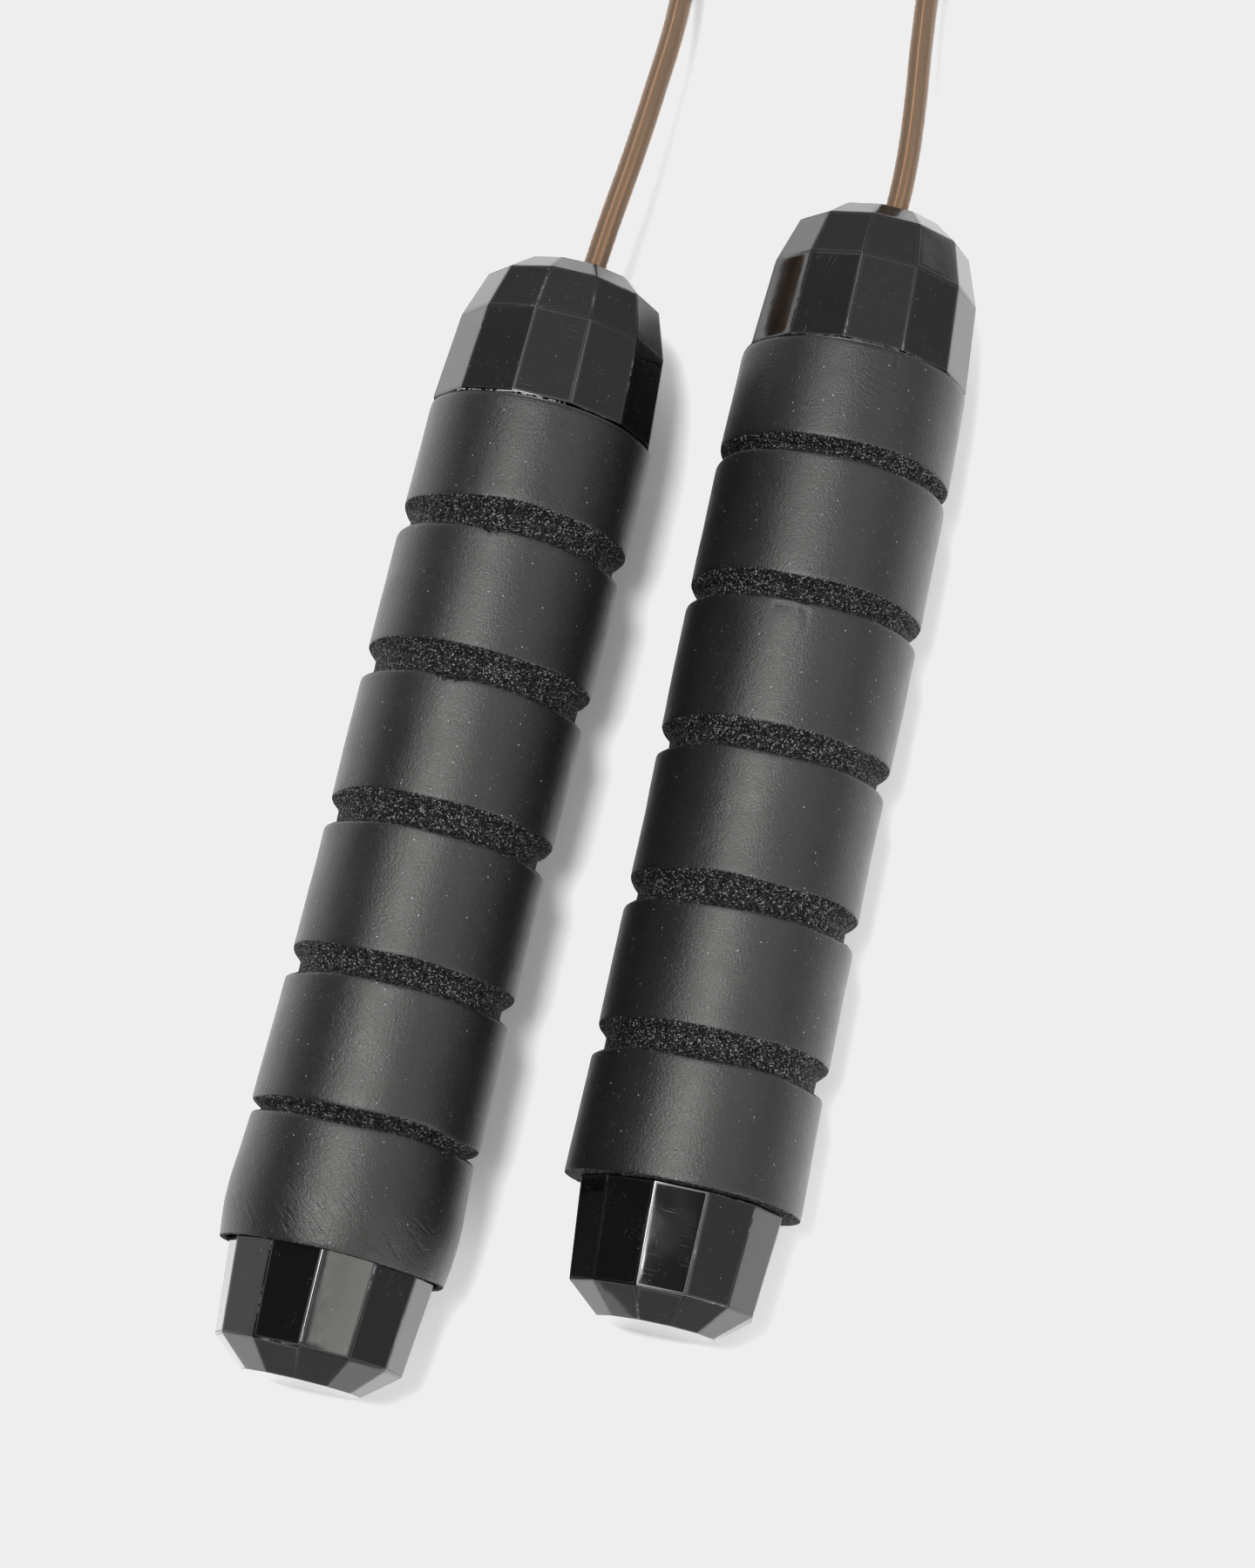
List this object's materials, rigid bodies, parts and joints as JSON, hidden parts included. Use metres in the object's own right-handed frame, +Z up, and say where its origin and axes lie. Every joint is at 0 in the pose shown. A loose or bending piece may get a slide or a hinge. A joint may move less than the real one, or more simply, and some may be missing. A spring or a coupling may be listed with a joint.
{
  "type": "jump rope",
  "caption": "Jump rope with grooved foam handles, faceted gloss caps and a clear-coated wire rope that turns in ball bearings.",
  "frame": {"origin": "on the surface the rope lies on, under the middle of the box round the two handles", "axes": "+Y runs roughly along the handles towards the rope, +Z up, +X towards the right handle"},
  "size_m": [0.1277, 0.3369, 0.0349],
  "materials": {
    "cap_plastic": "black gloss moulded plastic with flat facets, fine scratches and dust",
    "foam": "charcoal closed-cell foam, satin skin, open cells in the cut grooves",
    "tube_plastic": "plain black extruded plastic",
    "bearing_steel": "ground bearing steel",
    "cage_nylon": "natural nylon",
    "brass": "turned brass",
    "rope_pvc": "clear PVC coat over a bronze-coloured braided steel wire",
    "strap_tape": "black hook and loop tape"
  },
  "bodies": {
    "rope": {"rope_coil": "rope_pvc", "rope_left_lead": "rope_pvc", "rope_right_lead": "rope_pvc", "coil_strap": "strap_tape", "left_bearing_inner_ring": "bearing_steel", "left_swivel_sleeve": "brass", "left_washer": "bearing_steel", "left_stop_collar": "brass", "left_set_screw": "bearing_steel", "right_bearing_inner_ring": "bearing_steel", "right_swivel_sleeve": "brass", "right_washer": "bearing_steel", "right_stop_collar": "brass", "right_set_screw": "bearing_steel"},
    "left_handle": {"left_nose_cap": "cap_plastic", "left_end_cap": "cap_plastic", "left_foam_grip": "foam", "left_core_tube": "tube_plastic", "left_bearing_outer_ring": "bearing_steel", "left_front_shield": "bearing_steel", "left_rear_shield": "bearing_steel"},
    "left_balls": {"left_ball_cage": "cage_nylon", "left_ball_1": "bearing_steel", "left_ball_2": "bearing_steel", "left_ball_3": "bearing_steel", "left_ball_4": "bearing_steel", "left_ball_5": "bearing_steel", "left_ball_6": "bearing_steel", "left_ball_7": "bearing_steel"},
    "right_handle": {"right_nose_cap": "cap_plastic", "right_end_cap": "cap_plastic", "right_foam_grip": "foam", "right_core_tube": "tube_plastic", "right_bearing_outer_ring": "bearing_steel", "right_front_shield": "bearing_steel", "right_rear_shield": "bearing_steel"},
    "right_balls": {"right_ball_cage": "cage_nylon", "right_ball_1": "bearing_steel", "right_ball_2": "bearing_steel", "right_ball_3": "bearing_steel", "right_ball_4": "bearing_steel", "right_ball_5": "bearing_steel", "right_ball_6": "bearing_steel", "right_ball_7": "bearing_steel"}
  },
  "joints": [
    {"name": "left_handle_spin", "type": "hinge", "parent": "rope", "child": "left_handle", "pos_m": [-0.00435, 0.08045, 0.01743], "axis": [0.2292, 0.9734, 0], "continuous": true},
    {"name": "left_balls_orbit", "type": "hinge", "parent": "rope", "child": "left_balls", "pos_m": [-0.00435, 0.08045, 0.01743], "axis": [0.2292, 0.9734, 0], "continuous": true},
    {"name": "right_handle_spin", "type": "hinge", "parent": "rope", "child": "right_handle", "pos_m": [0.04333, 0.0893, 0.01743], "axis": [0.2071, 0.9783, 0], "continuous": true},
    {"name": "right_balls_orbit", "type": "hinge", "parent": "rope", "child": "right_balls", "pos_m": [0.04333, 0.0893, 0.01743], "axis": [0.2071, 0.9783, 0], "continuous": true}
  ],
  "couplings": [
    {"joint": "left_balls_orbit", "follows": "left_handle_spin", "ratio": 0.6},
    {"joint": "right_balls_orbit", "follows": "right_handle_spin", "ratio": 0.6}
  ]
}
